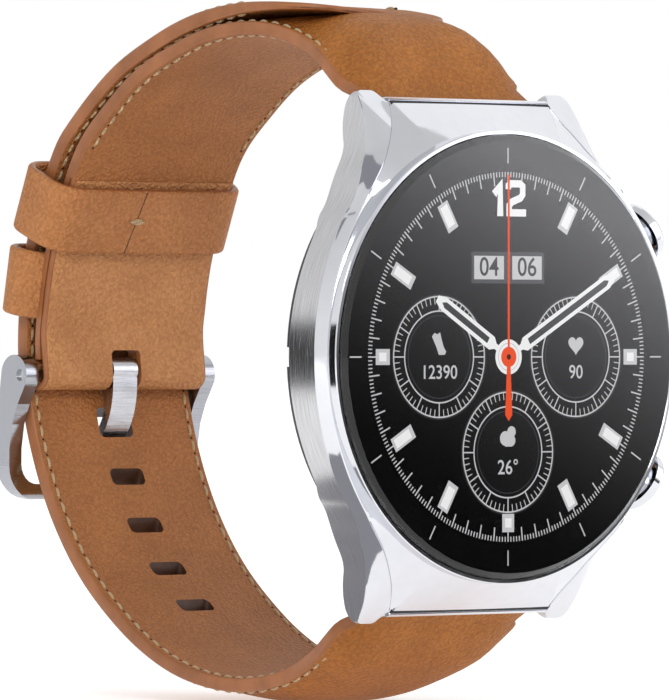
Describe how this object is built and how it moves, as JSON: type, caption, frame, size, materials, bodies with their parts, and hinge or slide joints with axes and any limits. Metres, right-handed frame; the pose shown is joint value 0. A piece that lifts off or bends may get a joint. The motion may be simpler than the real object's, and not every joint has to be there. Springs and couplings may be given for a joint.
{
  "type": "smartwatch",
  "caption": "Round smartwatch with a steel case, domed sensor back, side pushers and a padded leather strap closed by a pin buckle and keepers.",
  "frame": {"origin": "centre of the flat sensor window on the case back", "axes": "+Z points to 12 o'clock, +X to 3 o'clock and the pushers, -Y out of the dial, so +Y is the way the case back faces"},
  "size_m": [0.0469, 0.067, 0.0695],
  "materials": {
    "brushed_steel": "brushed",
    "polished_steel": "polished",
    "cover_glass": "clear, dark underneath",
    "window_glass": "gloss black",
    "leather": "pebbled",
    "lining": "smooth",
    "rubber": "matt",
    "inner_plastic": "matt",
    "circuit_board": "satin",
    "battery_wrap": "satin",
    "copper": "satin",
    "thread": "twisted",
    "dial_print": "lit",
    "dial_accent": "lit"
  },
  "bodies": {
    "watch": {"case_body": "brushed_steel", "bezel_ring": "polished_steel", "cover_glass": "cover_glass", "glass_gasket": "rubber", "display_panel": "window_glass", "display_flex": "copper", "antenna_ring": "inner_plastic", "inner_frame": "inner_plastic", "frame_screws": "brushed_steel", "battery": "battery_wrap", "main_board": "circuit_board", "shield_can": "brushed_steel", "speaker": "inner_plastic", "microphone": "brushed_steel", "motor_housing": "brushed_steel", "back_cover": "inner_plastic", "back_seal": "rubber", "back_screws": "brushed_steel", "sensor_window": "window_glass", "sensor_board": "circuit_board", "charging_coil": "copper", "switch_upper": "brushed_steel", "switch_lower": "brushed_steel", "button_board": "circuit_board", "strap_upper_outer": "leather", "strap_upper_lining": "lining", "strap_upper_fold": "leather", "strap_lower_outer": "leather", "strap_lower_lining": "lining", "keeper_fixed": "leather", "bar_upper_tube": "brushed_steel", "bar_upper_spring": "brushed_steel", "bar_lower_tube": "brushed_steel", "bar_lower_spring": "brushed_steel"},
    "button_upper": {"button_upper": "polished_steel", "button_upper_oring": "rubber", "button_upper_clip": "brushed_steel"},
    "button_lower": {"button_lower": "polished_steel", "button_lower_oring": "rubber", "button_lower_clip": "brushed_steel"},
    "motor_mass": {"motor_mass": "brushed_steel"},
    "keeper_floating": {"keeper_floating": "leather"},
    "buckle": {"buckle_frame": "polished_steel", "buckle_pin": "polished_steel"},
    "tongue": {"buckle_tongue": "polished_steel"},
    "bar_upper_plunger": {"bar_upper_plunger": "brushed_steel"},
    "bar_lower_plunger": {"bar_lower_plunger": "brushed_steel"}
  },
  "joints": [
    {"name": "button_upper_press", "type": "slide", "parent": "watch", "child": "button_upper", "axis": [-0.866, 0, -0.5], "range_m": [0, 0.0005], "stiffness_N_per_m": 1500},
    {"name": "button_lower_press", "type": "slide", "parent": "watch", "child": "button_lower", "axis": [-0.866, 0, 0.5], "range_m": [0, 0.0005], "stiffness_N_per_m": 1500},
    {"name": "motor_shake", "type": "slide", "parent": "watch", "child": "motor_mass", "axis": [1, 0, 0], "range_m": [-0.0003, 0.0003], "stiffness_N_per_m": 800},
    {"name": "keeper_slide", "type": "hinge", "parent": "watch", "child": "keeper_floating", "pos_m": [0, 0.0252, 0.0056], "axis": [1, 0, 0], "range_deg": [0, 12]},
    {"name": "buckle_swing", "type": "hinge", "parent": "watch", "child": "buckle", "pos_m": [0, 0.0509, -0.0019], "axis": [1, 0, 0], "range_deg": [-8, 0]},
    {"name": "tongue_swing", "type": "hinge", "parent": "watch", "child": "tongue", "pos_m": [0, 0.0509, -0.0019], "axis": [1, 0, 0], "range_deg": [0, 4]},
    {"name": "bar_upper_release", "type": "slide", "parent": "watch", "child": "bar_upper_plunger", "axis": [-1, 0, 0], "range_m": [0, 0.0012], "stiffness_N_per_m": 400, "springref_m": -0.0005},
    {"name": "bar_lower_release", "type": "slide", "parent": "watch", "child": "bar_lower_plunger", "axis": [-1, 0, 0], "range_m": [0, 0.0012], "stiffness_N_per_m": 400, "springref_m": -0.0005}
  ]
}
